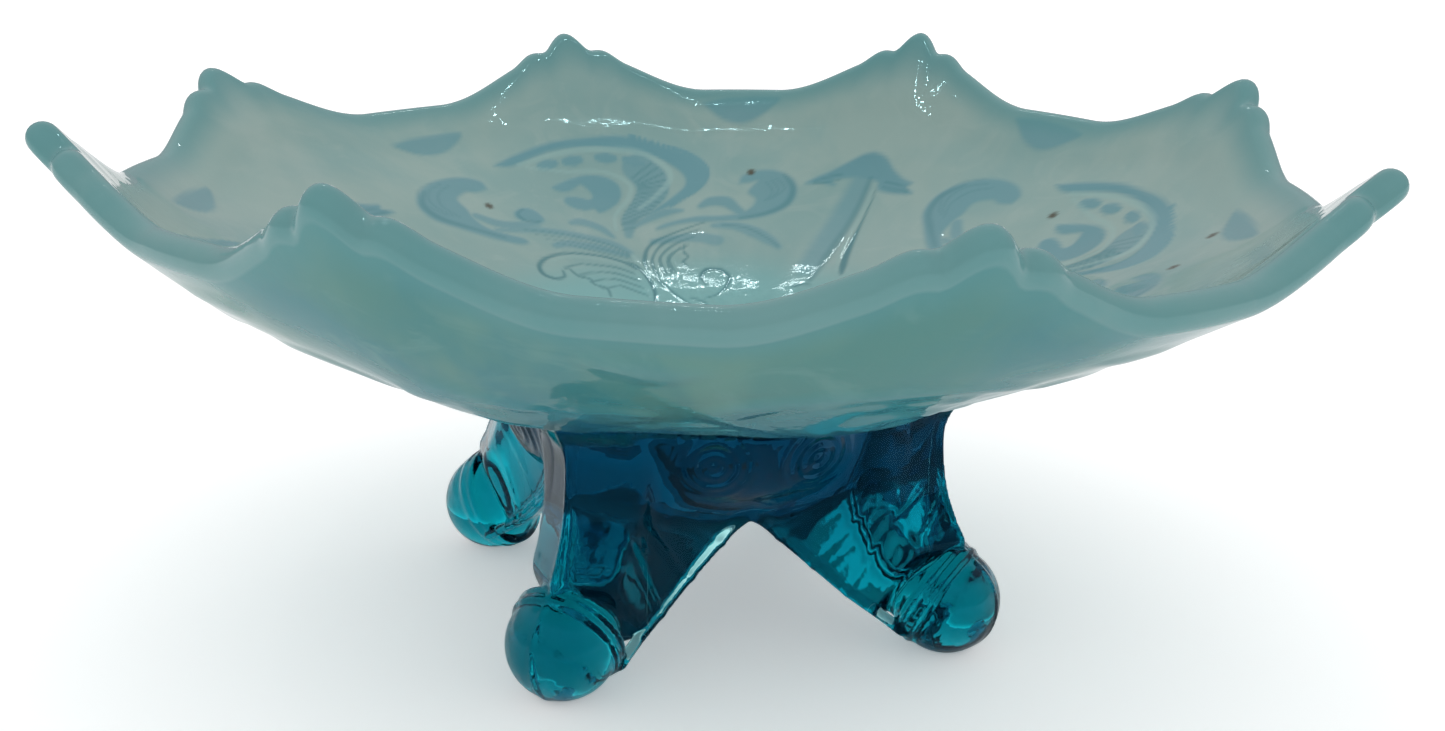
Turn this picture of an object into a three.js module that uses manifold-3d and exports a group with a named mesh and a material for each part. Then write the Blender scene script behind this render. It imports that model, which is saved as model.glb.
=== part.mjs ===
// A shallow pressed-glass fruit bowl with an eight-pointed flared rim, standing on four ball-toed feet.
// Millimetres, +Z up. The origin is on the table under the bowl's centre. The rim has a point every
// 45 degrees from +X, and the feet stand under the four points on the diagonals.
import * as THREE from "three";
import { mergeVertices } from "three/addons/utils/BufferGeometryUtils.js";
import Module from "manifold-3d";

// Rim and wall of the bowl
const POINTS = 8;
const TIP_RADIUS = 130.7; // middle of the glass edge at a point of the rim
const TIP_HEIGHT = 105.6;
const TROUGH_RADIUS = 119.5;
const TROUGH_HEIGHT = 88.5;
const OVAL_FLARE = 4; // the reheated bowl was flared a little wider along the +X -Y diagonal
const OVAL_DROP = 2.3; // and hangs lower there
const WALL = 5;
const FLOOR = 6.5; // glass thickness at the bowl's centre
const KNOB_WIDTH = 0.2; // of the half spacing between a point and a trough
const SHOULDER_WIDTH = 0.78;
const KNOB_SHARE = 0.34; // part of a point's height that its knob makes
const RUFFLE_START = 0.62; // fraction of the rim's radius where the points begin to lift the wall

// Base: a round dome under the bowl, with a thick web out to each foot
const DOME_BOTTOM = 28;
const WEB_HEIGHT = 28; // highest place of the webs' sloping underside
const WEB_REACH = 24; // how close to the axis that slope comes
const WEB_SLOPE = 0.95; // run over rise of the underside where it leaves the base
const WEB_SWEEP = 0.012; // how much flatter it gets, per millimetre down
const ARC_CENTRE = 54; // along and across the leg, centre of the concave flank between two feet
const WEB_HALF = 10.2; // half the leg's thickness where it is narrowest
const NOSE_DEPTH = 7; // from the leg's flat flank to the ridge down its front
const SPLIT = 44; // distance from the axis where a foot leaves the base

// Feet
const TOE_RADIUS = 11.2;
const TOE_REACH = 57; // from the axis to the middle of a toe
const TOE_FLAT = 0.5; // height lost to the worn flat under a toe
const LEG_BOTTOM = 4;
const LEG_TOP = 60;
const COLLAR_RADIUS = 10.6;
const COLLAR_BEAD = 1.5;
const COLLAR_TILT = 0.49; // radians that the collar's outer side leans down
const COLLAR_BACK = 2.4; // how far the collar sits behind the toe's middle
const FOOT_TWIST = (-1.8 / 180) * Math.PI; // flaring the rim turned it this far against the feet

const GAP = 0.3; // between pieces that meet
const CLEAR = 90; // a distance past the outside of every foot, for the cutting solids
const BOWL_SEGMENTS = 128;
const BASE_SEGMENTS = 64;

const wasm = await Module();
wasm.setup();

// ---- geometry helpers ----

// Turns a closed three.js geometry into a solid that can be cut and joined.
function solidOf(geometry) {
  const bare = new THREE.BufferGeometry();
  bare.setAttribute("position", geometry.getAttribute("position"));
  bare.setIndex(geometry.index);
  const merged = mergeVertices(bare, 1e-4);
  const mesh = new wasm.Mesh({
    numProp: 3,
    vertProperties: merged.attributes.position.array,
    triVerts: new Uint32Array(merged.index.array),
  });
  return new wasm.Manifold(mesh);
}

// Turns a solid back into a geometry with one shared vertex per corner.
function geometryOf(solid) {
  const mesh = solid.getMesh();
  const geometry = new THREE.BufferGeometry();
  geometry.setAttribute("position", new THREE.BufferAttribute(mesh.vertProperties, 3));
  geometry.setIndex(new THREE.BufferAttribute(mesh.triVerts, 1));
  geometry.computeVertexNormals();
  return geometry;
}

// Skins a stack of rings of equal length, each counter-clockwise seen from +Z, and closes both ends.
function skin(rings) {
  const count = rings[0].length;
  const middle = (ring) => ring.reduce((sum, p) => sum.add(p), new THREE.Vector3()).divideScalar(count);
  const points = [...rings.flat(), middle(rings[0]), middle(rings.at(-1))];
  const first = rings.length * count;
  const last = first + 1;
  const faces = [];
  for (let j = 0; j < count; j++) {
    const next = (j + 1) % count;
    const top = (rings.length - 1) * count;
    faces.push(first, next, j);
    faces.push(last, top + j, top + next);
    for (let k = 0; k < rings.length - 1; k++) {
      const low = k * count;
      const high = low + count;
      faces.push(low + j, low + next, high + next);
      faces.push(low + j, high + next, high + j);
    }
  }
  const geometry = new THREE.BufferGeometry().setFromPoints(points);
  geometry.setIndex(faces);
  return geometry;
}

// Revolves a profile of radius and height about the vertical axis.
function revolve(profile, segments) {
  const geometry = new THREE.LatheGeometry(profile, segments);
  geometry.rotateX(Math.PI / 2);
  return solidOf(geometry);
}

// A round hump, 1 at its middle and 0 from one width away.
function hump(offset, width) {
  const t = Math.min(Math.abs(offset) / width, 1);
  return 0.5 + 0.5 * Math.cos(Math.PI * t);
}

// Turns about the vertical axis onto the diagonal that foot k stands on.
function turnToFoot(k) {
  return new THREE.Matrix4().makeRotationZ((k + 0.5) * (Math.PI / 2) + FOOT_TWIST);
}

// ---- bowl ----

// Height of the bowl's outside against the fraction of the rim's radius, at a trough of the rim.
const wallProfile = new THREE.SplineCurve([
  new THREE.Vector2(0, 46.6),
  new THREE.Vector2(0.26, 48),
  new THREE.Vector2(0.41, 53.2),
  new THREE.Vector2(0.56, 59.8),
  new THREE.Vector2(0.72, 68),
  new THREE.Vector2(0.87, 77.5),
  new THREE.Vector2(1, TROUGH_HEIGHT),
]);

function wallHeight(fraction) {
  let low = 0;
  let high = 1;
  for (let i = 0; i < 24; i++) {
    const mid = (low + high) / 2;
    if (wallProfile.getPoint(mid).x < fraction) low = mid;
    else high = mid;
  }
  return wallProfile.getPoint(low).y;
}

// How much of a point the rim has at an angle: 0 at a trough, 1 at the tip of a point.
function pointShare(angle) {
  const pitch = (2 * Math.PI) / POINTS;
  const offset = (angle / pitch - Math.round(angle / pitch)) * 2;
  const shoulders = hump(offset, SHOULDER_WIDTH);
  const knob = hump(offset, KNOB_WIDTH);
  return (1 - KNOB_SHARE) * shoulders + KNOB_SHARE * knob;
}

// A point on the outside of the bowl, before the wall gets its thickness.
function outside(fraction, angle) {
  const share = pointShare(angle);
  const oval = Math.cos(2 * (angle + Math.PI / 4));
  const ruffle = Math.max(0, (fraction - RUFFLE_START) / (1 - RUFFLE_START)) ** 2;
  const rimRadius = TROUGH_RADIUS + (TIP_RADIUS - TROUGH_RADIUS) * share;
  const lift = (TIP_HEIGHT - TROUGH_HEIGHT) * share - OVAL_DROP * oval;
  return {
    radius: fraction * rimRadius + OVAL_FLARE * oval * ruffle,
    height: wallHeight(fraction) + lift * ruffle,
  };
}

// One ring of the bowl's skin: the outside moved along its normal by depth, and along the wall by reach.
function bowlRing(fraction, depth, reach) {
  const step = 0.01;
  return Array.from({ length: BOWL_SEGMENTS }, (_, j) => {
    const angle = (j / BOWL_SEGMENTS) * 2 * Math.PI;
    const here = outside(fraction, angle);
    const before = outside(fraction - step, angle);
    const slope = Math.atan2(here.height - before.height, here.radius - before.radius);
    const radius = here.radius - depth * Math.sin(slope) + reach * Math.cos(slope);
    const height = here.height + depth * Math.cos(slope) + reach * Math.sin(slope);
    return new THREE.Vector3(radius * Math.cos(angle), radius * Math.sin(angle), height);
  });
}

function bowl() {
  const stations = [0.1, 0.26, 0.41, 0.56, 0.68, 0.78, 0.86, 0.92, 0.965, 1];
  const thickness = (fraction) => THREE.MathUtils.lerp(FLOOR, WALL, Math.min(fraction / 0.5, 1));
  const outer = stations.map((fraction) => bowlRing(fraction, 0, 0));
  const inner = stations.map((fraction) => bowlRing(fraction, thickness(fraction), 0));
  const edge = [0.25, 0.5, 0.75].map((turn) => {
    const depth = (WALL / 2) * (1 - Math.cos(turn * Math.PI));
    return bowlRing(1, depth, (WALL / 2) * Math.sin(turn * Math.PI));
  });
  return skin([...outer, ...edge, ...inner.reverse()]);
}

// ---- base and feet ----

// Everything lower than the bowl's outside by the gap, out to past the feet.
function spaceUnderBowl() {
  const profile = [new THREE.Vector2(0, -CLEAR), new THREE.Vector2(CLEAR, -CLEAR)];
  for (const fraction of [CLEAR / TIP_RADIUS, 0.56, 0.41, 0.26, 0.1, 0]) {
    profile.push(new THREE.Vector2(fraction * TIP_RADIUS, wallHeight(fraction) - GAP));
  }
  return revolve(profile, BASE_SEGMENTS);
}

function dome() {
  const profile = [
    new THREE.Vector2(0, DOME_BOTTOM),
    new THREE.Vector2(20, DOME_BOTTOM + 0.8),
    new THREE.Vector2(30, DOME_BOTTOM + 3),
    new THREE.Vector2(37, DOME_BOTTOM + 7),
    new THREE.Vector2(42, DOME_BOTTOM + 12.5),
    new THREE.Vector2(47, LEG_TOP),
    new THREE.Vector2(0, LEG_TOP),
  ];
  return revolve(profile, BASE_SEGMENTS);
}

// Distance from the axis to the ridge down the front of a leg, against height.
const ridgeProfile = [
  [LEG_BOTTOM, 57],
  [10, 54],
  [16, 57],
  [23, 60.5],
  [28, 58.5],
  [34, 56.2],
  [41, 55],
  [48, 55],
  [54, 58],
  [LEG_TOP, 62],
];

// One level of a leg that runs along +X: a right-angled ridge in front, and concave flanks behind it.
function legRing(height, ridge) {
  const drop = Math.max(0, WEB_HEIGHT - height);
  const start = WEB_REACH + drop * WEB_SLOPE + drop ** 2 * WEB_SWEEP;
  const flankRadius = ARC_CENTRE - WEB_HALF;
  const half = (x) => ARC_CENTRE - Math.sqrt(flankRadius ** 2 - (x - ARC_CENTRE) ** 2);
  const noseStart = Math.max(ridge - NOSE_DEPTH, start + 0.5);
  const side = [];
  for (let i = 0; i <= 5; i++) {
    const x = THREE.MathUtils.lerp(start, noseStart, i / 5);
    side.push([x, half(x)]);
  }
  side.push([ridge - NOSE_DEPTH / 6, WEB_HALF * 0.4]);
  const left = side.map(([x, y]) => new THREE.Vector3(x, y, height));
  const right = side.map(([x, y]) => new THREE.Vector3(x, -y, height));
  return [...right, new THREE.Vector3(ridge, 0, height), ...left.reverse()];
}

function leg() {
  return solidOf(skin(ridgeProfile.map(([height, ridge]) => legRing(height, ridge))));
}

// The ball toe with the collar bead round its back, along +X.
function toe() {
  const ball = new THREE.SphereGeometry(TOE_RADIUS, 24, 16);
  ball.rotateX(Math.PI / 2);
  ball.translate(TOE_REACH, 0, TOE_RADIUS - TOE_FLAT);
  const collar = new THREE.TorusGeometry(COLLAR_RADIUS, COLLAR_BEAD, 8, 24);
  collar.rotateY(Math.PI / 2 + COLLAR_TILT);
  const back = new THREE.Vector3(-Math.cos(COLLAR_TILT), 0, Math.sin(COLLAR_TILT));
  back.multiplyScalar(COLLAR_BACK);
  collar.translate(TOE_REACH + back.x, 0, TOE_RADIUS - TOE_FLAT + back.z);
  return solidOf(ball).add(solidOf(collar));
}

// The space above the table beyond the split, along +X.
function spaceBeyondSplit() {
  const near = SPLIT + GAP / 2;
  const box = new THREE.BoxGeometry(CLEAR - near, CLEAR, CLEAR);
  box.translate((near + CLEAR) / 2, 0, CLEAR / 2);
  return solidOf(box);
}

const underBowl = spaceUnderBowl();
const wholeDome = dome();
const wholeLeg = leg();
const footLine = [0, 1, 2, 3].map(turnToFoot);

function base() {
  const width = 2 * SPLIT - GAP;
  const cross = footLine.map((turn) => wholeLeg.transform(turn.elements));
  const joined = cross.reduce((sum, arm) => sum.add(arm), wholeDome);
  const square = new THREE.BoxGeometry(width, width, CLEAR);
  square.rotateZ(Math.PI / 4 + FOOT_TWIST);
  square.translate(0, 0, CLEAR / 2);
  return joined.intersect(solidOf(square)).intersect(underBowl);
}

function foot() {
  const limb = wholeLeg.add(wholeDome).add(toe());
  return limb.intersect(spaceBeyondSplit()).intersect(underBowl);
}

// ---- assembly ----

const opalGlass = new THREE.MeshStandardMaterial({ color: 0x8cb0ab, roughness: 0.15, metalness: 0 });
const clearGlass = new THREE.MeshStandardMaterial({ color: 0x1a7286, roughness: 0.08, metalness: 0 });

function piece(name, geometry, material) {
  const mesh = new THREE.Mesh(geometry, material);
  mesh.name = name;
  return mesh;
}

const fruitBowl = new THREE.Group();
fruitBowl.add(piece("bowl", bowl(), opalGlass));
fruitBowl.add(piece("base", geometryOf(base()), clearGlass));

const footGeometry = geometryOf(foot());
const footNames = ["foot_back_right", "foot_back_left", "foot_front_left", "foot_front_right"];
footNames.forEach((name, k) => {
  const mesh = piece(name, footGeometry, clearGlass);
  mesh.applyMatrix4(footLine[k]);
  fruitBowl.add(mesh);
});

export default fruitBowl;
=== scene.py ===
# A footed fruit bowl of blue opalescent pressed glass, built round its CAD frame.
# Shapes are worked out in millimetres, in the CAD's own frame, and become metres when a mesh is made.
import math

import bpy
import bmesh
import numpy as np
import openvdb
from mathutils import Matrix, Vector


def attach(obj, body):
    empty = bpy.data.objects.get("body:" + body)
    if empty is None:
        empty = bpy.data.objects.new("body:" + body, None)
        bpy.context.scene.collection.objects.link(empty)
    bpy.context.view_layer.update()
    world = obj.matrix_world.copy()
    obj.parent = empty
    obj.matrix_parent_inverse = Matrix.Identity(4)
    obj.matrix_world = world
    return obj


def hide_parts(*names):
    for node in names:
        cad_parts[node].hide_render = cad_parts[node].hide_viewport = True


MM = 0.001

# ---- bowl, as in the CAD ----
POINTS = 8
TIP_RADIUS = 130.7
TIP_HEIGHT = 105.6
TROUGH_RADIUS = 119.5
TROUGH_HEIGHT = 88.5
OVAL_FLARE = 4.0
OVAL_DROP = 2.3
WALL = 5.0
FLOOR = 6.5
SHOULDER_WIDTH = 0.78
KNOB_SHARE = 0.34
RUFFLE_START = 0.62
FOOT_TWIST = math.radians(-1.8)
WALL_PROFILE = [(0, 46.6), (0.26, 48), (0.41, 53.2), (0.56, 59.8), (0.72, 68), (0.87, 77.5), (1, 88.5)]

# ---- bowl, details that only the visual model has ----
EDGE_WALL = 6.4  # the rim is thicker than the wall
EDGE_START = 0.9  # share of the way from the axis to the rim where the wall starts to thicken
KNOB_START = 0.93  # where the knobs start to stand out
RIM_START = 0.95  # where the bluer band of the rim starts
KNOB_REACH = 6.2  # how far the middle lobe of a knob stands out of the rim
KNOB_HALF = 7.2  # half its width
KNOB_FULLNESS = 0.7  # a power under 1 fills out the shoulders of a lobe
LOBE_OFFSET = 10.4  # from a knob's middle to the middle of each side lobe
LOBE_HALF = 6.0
LOBE_REACH = 2.3
LOBE_FULLNESS = 0.8
KNOB_FILLET = 2.6  # between the middle lobe and the side lobes
RELIEF_OUT = 0.55  # height of the pressed ornament on the outside
MELTED = 1.3  # how far the edges of that ornament have run
RELIEF_IN = 0.12  # what shows of it on the fire-polished inside
RIDGE_SHARE = 0.4  # height of its ridges, which also carry a painted highlight, as a share of the relief
GROOVE_SHARE = 0.55  # depth of its grooves, which also carry painted shade
OUTSIDE_LINES = 0.3  # what is left of ridges and grooves on the outside
ORNAMENT_IN = 5.5  # how far the ornament sits towards the axis from where its motifs are drawn
SPECKS = [(91, 17), (87, -41), (99, -36), (39, 84), (-31, 80)]  # plan places of flecks in the glass
SPECK_CORE = 0.6  # radius of a fleck's dark middle
SPECK_REACH = 1.4
INNER_ANGLES = 960
OUTER_ANGLES = 480  # half as many, because the ornament is softer outside
EDGE_ROWS = 12  # round the edge of the rim

# ---- base and feet, close to the CAD: the front of a leg and the collar differ a little ----
DOME_PROFILE = [(0, 28), (20, 28.8), (30, 31), (37, 35), (42, 40.5), (46, 52), (49, 75), (51, 99)]
WEB_UNDERSIDE = [(20, 32.5), (24, 28.6), (28, 23.8), (33.5, 18), (40.5, 11.8), (49, 6.4), (54.5, 3.2),
                 (60, 0), (70, -4)]
ARC_CENTRE = 54.0
WEB_HALF = 10.2
NOSE_DEPTH = 8.0
LEG_BOTTOM = 2.5  # a leg ends inside its toe
SPLIT = 44.0
TOE_RADIUS = 11.2
TOE_REACH = 57.0
TOE_FLAT = 0.5
RIDGE_PROFILE = [(0, 50), (8, 52.5), (16, 57), (23, 60.5), (28, 58.5), (34, 56.2), (41, 55), (48, 55),
                 (54, 58), (60, 62)]
COLLAR_RADIUS = 10.9
COLLAR_BEAD = 1.0
COLLAR_TILT = 0.49
COLLAR_BACK = 2.4
COLLAR_SHIFTS = (-1.1, 1.0)  # its two beads, along its axis

# ---- base and feet, details that only the visual model has ----
LEG_ROUNDING = 1.6  # of the edge between a flank and the front of a leg
UNDER_ROUNDING = 1.2  # of the lower edge of a web
DOME_FILLET = 5.0
TOE_FILLET = 1.2
COLLAR_FILLET = 0.9
FAN_X = 58.0  # the ribs on a leg's flank spread from this place at its top
FAN_Z = 50.0
RIB_ANGLES = [0.443, 0.660, 0.876, 1.092]  # from straight down, towards the axis
RIB_HALF = 1.2
RIB_HEIGHT = 0.24
RIB_TOP = 36.0  # height where the ribs end
RIB_FADE = 4.0  # how much lower they reach their full relief
RIB_SLOPE = 0.1  # how much lower they end for each millimetre towards the axis
BEAD_RADIUS = 1.15  # of the bead along the lower edge of a web
BEAD_SET_IN = 0.3  # of its middle behind the flank
BEAD_FILLET = 0.6
BEAD_END = 52.5  # it dies away where the toe begins
BEAD_FADE = 1.5
SEAM_HALF = 0.9  # mould seam down the front of a leg and its toe
SEAM_HEIGHT = 0.3
SCROLL_TURN = math.radians(31)  # from a leg to the scroll raised on the dome beside it
SCROLL_HEIGHT = 45.0
SCROLL_PITCH = 2.6
SCROLL_REACH = 10.0
SCROLL_RELIEF = 0.3
VOXEL = 0.5
GRID_REACH = 70.0
GRID_TOP = 66.0
GRID_BELOW = 1.0  # how far the grid starts below the table
FIELD_LIMIT = 2.5  # voxels on each side of the surface where the field is kept
SMOOTHING_ROUNDS = 6
SMOOTHING_STEPS = (0.5, -0.53)  # the second step takes back the shrinking of the first
SEAT_DEPTH = 0.5  # above this far under the bowl, the limbs go straight up
SEAT_GAP = 0.04  # between the clear glass and the bowl
SEAT_SNAP = 0.15  # points closer than this to the seat are put on it
SPLIT_GAP = 0.02  # between a foot and the base

# ---- glass and table, with linear colours ----
MILK_PALE = (0.295, 0.40, 0.368)
MILK_DEEP = (0.225, 0.36, 0.345)
MILK_STREAK = (0.33, 0.425, 0.395)
MILK_FLUTE = (0.36, 0.445, 0.415)
# outside colours, set darker than the inside: partly the glass's own colour, partly painted shade
SKIN_GREEN_SHADED = (0.080, 0.225, 0.205)
SKIN_BLUE_SHADED = (0.052, 0.205, 0.225)
SKIN_FLUTE_SHADED = (0.125, 0.265, 0.22)
SKIN_STREAK_SHADED = (0.145, 0.30, 0.275)
SKIN_LOW_SHADED = (0.022, 0.205, 0.255)
# painted shade on the bowl's underside where it sits on the base
SEAT_PAINTED_SHADE = (0.004, 0.06, 0.09)
ORNAMENT_DEEP = (0.085, 0.25, 0.30)
ORNAMENT_PALE = (0.115, 0.28, 0.325)
FLOOR_CLEAR = (0.21, 0.51, 0.51)
TIP_BLUE = (0.10, 0.27, 0.29)
RIM_BLUE = (0.08, 0.25, 0.262)
# painted shade along the grooves of the ornament
GROOVE_PAINTED_SHADE = (0.015, 0.15, 0.18)
# painted highlight along the ridges of the ornament
RIDGE_PAINTED_HIGHLIGHT = (0.29, 0.45, 0.43)
SPECK_BROWN = (0.07, 0.055, 0.03)
OPAL_MIRROR = (0.45, 0.8, 0.85, 1)
TINT_DEEP = (0.80, 0.97, 0.98)
TINT_PALE = (0.90, 1.0, 1.0)
CLEAR_MIRROR = (0.05, 0.45, 0.8, 1)
CLEAR_DEPTH = (0.0, 0.85, 0.89, 1)  # what a long way through the clear glass leaves of white
CLEAR_DENSITY = 270  # per metre
GLASS_IOR = 1.5
RIPPLE = 0.001  # depth of the ripples in the fire-polished surface, in metres
TABLE_DARK = (0.93, 0.93, 0.93)
TABLE_PALE = (0.96, 0.96, 0.96)
HORIZON = (0.35, 0.38, 0.40)
ZENITH = (0.9, 0.92, 0.93)

# ---- stage, in metres ----
FLOOR_SIZE = 20.0  # from its middle to each side
FLOOR_GLOW = 0.28
LAMP_TARGET = (0, 0, 0.08)
# name, first place, last place, count, width of a lamp, power of a lamp
LAMP_ROWS = [
    ("above", (-0.10, 0.02, 0.57), (0.10, 0.05, 0.57), 9, 0.005, 0.008),
    ("far", (0.48, 1.31, 1.55), (0.27, 1.33, 1.58), 6, 0.02, 0.05),
    ("side", (-0.25, 0.06, 0.46), (-0.25, 0.10, 0.47), 3, 0.005, 0.006),
]
CAMERA_PLACE = (-0.1116, -0.3441, 0.1602)
CAMERA_HEADING = (0.3176, 0.9482, 0)
CAMERA_PITCH = math.radians(16.604)  # downwards
CAMERA_ROLL = 0.0118
CAMERA_LENS = 43.74  # in millimetres, on a sensor 36 mm wide

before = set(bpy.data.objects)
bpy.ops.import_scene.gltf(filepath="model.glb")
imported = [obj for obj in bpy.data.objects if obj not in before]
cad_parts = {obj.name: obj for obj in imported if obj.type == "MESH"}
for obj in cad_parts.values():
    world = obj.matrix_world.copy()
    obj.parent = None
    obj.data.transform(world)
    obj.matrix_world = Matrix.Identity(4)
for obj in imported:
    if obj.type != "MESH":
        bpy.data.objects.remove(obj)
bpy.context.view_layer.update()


# ---- small helpers ----

def spline(points, steps=12):
    """A smooth curve through the points, the same one that the CAD's SplineCurve draws."""
    points = np.asarray(points, float)
    padded = np.vstack([points[:1], points, points[-1:]])
    t = np.linspace(0, 1, steps, endpoint=False)[:, None]
    pieces = []
    for p0, p1, p2, p3 in zip(padded, padded[1:], padded[2:], padded[3:]):
        v0 = (p2 - p0) / 2
        v1 = (p3 - p1) / 2
        cubic = (2 * p1 - 2 * p2 + v0 + v1) * t**3
        square = (-3 * p1 + 3 * p2 - 2 * v0 - v1) * t**2
        pieces.append(cubic + square + v0 * t + p1)
    pieces.append(points[-1:])
    return np.vstack(pieces)


def smoothstep(low, high, value):
    t = np.clip((value - low) / (high - low), 0, 1)
    return t * t * (3 - 2 * t)


def hump(offset, width):
    """A round hump, 1 at its middle and 0 from one width away."""
    t = np.minimum(np.abs(offset) / width, 1)
    return 0.5 + 0.5 * np.cos(np.pi * t)


def smooth_min(a, b, radius):
    """The union of two distance fields, with a fillet of about that radius where they meet."""
    h = np.clip(0.5 + 0.5 * (b - a) / radius, 0, 1)
    return b + (a - b) * h - radius * h * (1 - h)


def smooth_max(a, b, radius):
    return -smooth_min(-a, -b, radius)


def new_object(name, points, faces, material):
    """A smooth-shaded mesh object from points in millimetres."""
    mesh = bpy.data.meshes.new(name)
    mesh.from_pydata((np.asarray(points) * MM).tolist(), [], [tuple(f) for f in faces])
    mesh.polygons.foreach_set("use_smooth", [True] * len(mesh.polygons))
    mesh.materials.append(material)
    mesh.update()
    made = bpy.data.objects.new(name, mesh)
    bpy.context.scene.collection.objects.link(made)
    return made


def add_attribute(made, name, values):
    attribute = made.data.attributes.new(name, "FLOAT", "POINT")
    attribute.data.foreach_set("value", np.asarray(values, np.float32))


# ---- the pressed ornament, drawn flat ----
# u runs to the right and v outwards from the bowl's axis, in millimetres of plan.

class Ornament:
    """One motif as three height maps: proud relief, ridges and grooves; the ridges are also painted as
    highlights and the grooves as shade.
    """

    STEP = 0.25

    def __init__(self, half_width, near, far):
        self.low = np.array([-half_width, near], float)
        self.high = np.array([half_width, far], float)
        size = np.ceil((self.high - self.low) / self.STEP).astype(int) + 1
        self.u = self.low[0] + np.arange(size[0]) * self.STEP
        self.v = self.low[1] + np.arange(size[1]) * self.STEP
        self.maps = {kind: np.zeros(size) for kind in ("relief", "ridge", "groove")}

    def stroke(self, kind, points, widths, height=1.0, soft=0.5):
        """A line through the points, as wide as widths says along it, with soft edges."""
        path = spline(points, 8)
        widths = np.atleast_1d(widths)
        along = np.linspace(0, 1, len(path))
        width = np.interp(along, np.linspace(0, 1, len(widths)), widths)
        target = self.maps[kind]
        for a, b, wa, wb in zip(path, path[1:], width, width[1:]):
            margin = max(wa, wb) / 2 + soft
            i0, j0 = np.maximum(((np.minimum(a, b) - margin - self.low) / self.STEP).astype(int), 0)
            i1, j1 = ((np.maximum(a, b) + margin - self.low) / self.STEP).astype(int) + 2
            if i1 <= i0 or j1 <= j0:
                continue
            u = self.u[i0:i1, None]
            v = self.v[None, j0:j1]
            d = b - a
            t = np.clip(((u - a[0]) * d[0] + (v - a[1]) * d[1]) / max(d @ d, 1e-9), 0, 1)
            away = np.hypot(u - a[0] - t * d[0], v - a[1] - t * d[1])
            level = height * smoothstep(-soft, soft, (wa + (wb - wa) * t) / 2 - away)
            target[i0:i1, j0:j1] = np.maximum(target[i0:i1, j0:j1], level)

    def patch(self, kind, outline, height=1.0, soft=0.7):
        """A filled shape inside a smooth closed outline."""
        closed = list(outline) + [outline[0]]
        path = spline(closed, 6)
        u = self.u[:, None]
        v = self.v[None, :]
        inside = np.zeros(self.maps[kind].shape, bool)
        away = np.full(self.maps[kind].shape, 99.0)
        for a, b in zip(path, path[1:]):
            d = b - a
            t = np.clip(((u - a[0]) * d[0] + (v - a[1]) * d[1]) / max(d @ d, 1e-9), 0, 1)
            away = np.minimum(away, np.hypot(u - a[0] - t * d[0], v - a[1] - t * d[1]))
            crosses = (a[1] > v) != (b[1] > v)
            rise = d[1] if abs(d[1]) > 1e-9 else 1e-9
            inside ^= crosses & (u < a[0] + (v - a[1]) * d[0] / rise)
        signed = np.where(inside, away, -away)
        self.maps[kind] = np.maximum(self.maps[kind], height * smoothstep(-soft, soft, signed))

    def sample(self, kind, u, v):
        """The height map read between its grid points, 0 outside it."""
        x = (u - self.low[0]) / self.STEP
        y = (v - self.low[1]) / self.STEP
        grid = self.maps[kind]
        known = (x >= 0) & (y >= 0) & (x < grid.shape[0] - 1) & (y < grid.shape[1] - 1)
        x = np.where(known, x, 0)
        y = np.where(known, y, 0)
        i = x.astype(int)
        j = y.astype(int)
        s = x - i
        t = y - j
        low = grid[i, j] * (1 - s) + grid[i + 1, j] * s
        high = grid[i, j + 1] * (1 - s) + grid[i + 1, j + 1] * s
        return np.where(known, low * (1 - t) + high * t, 0)


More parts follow.
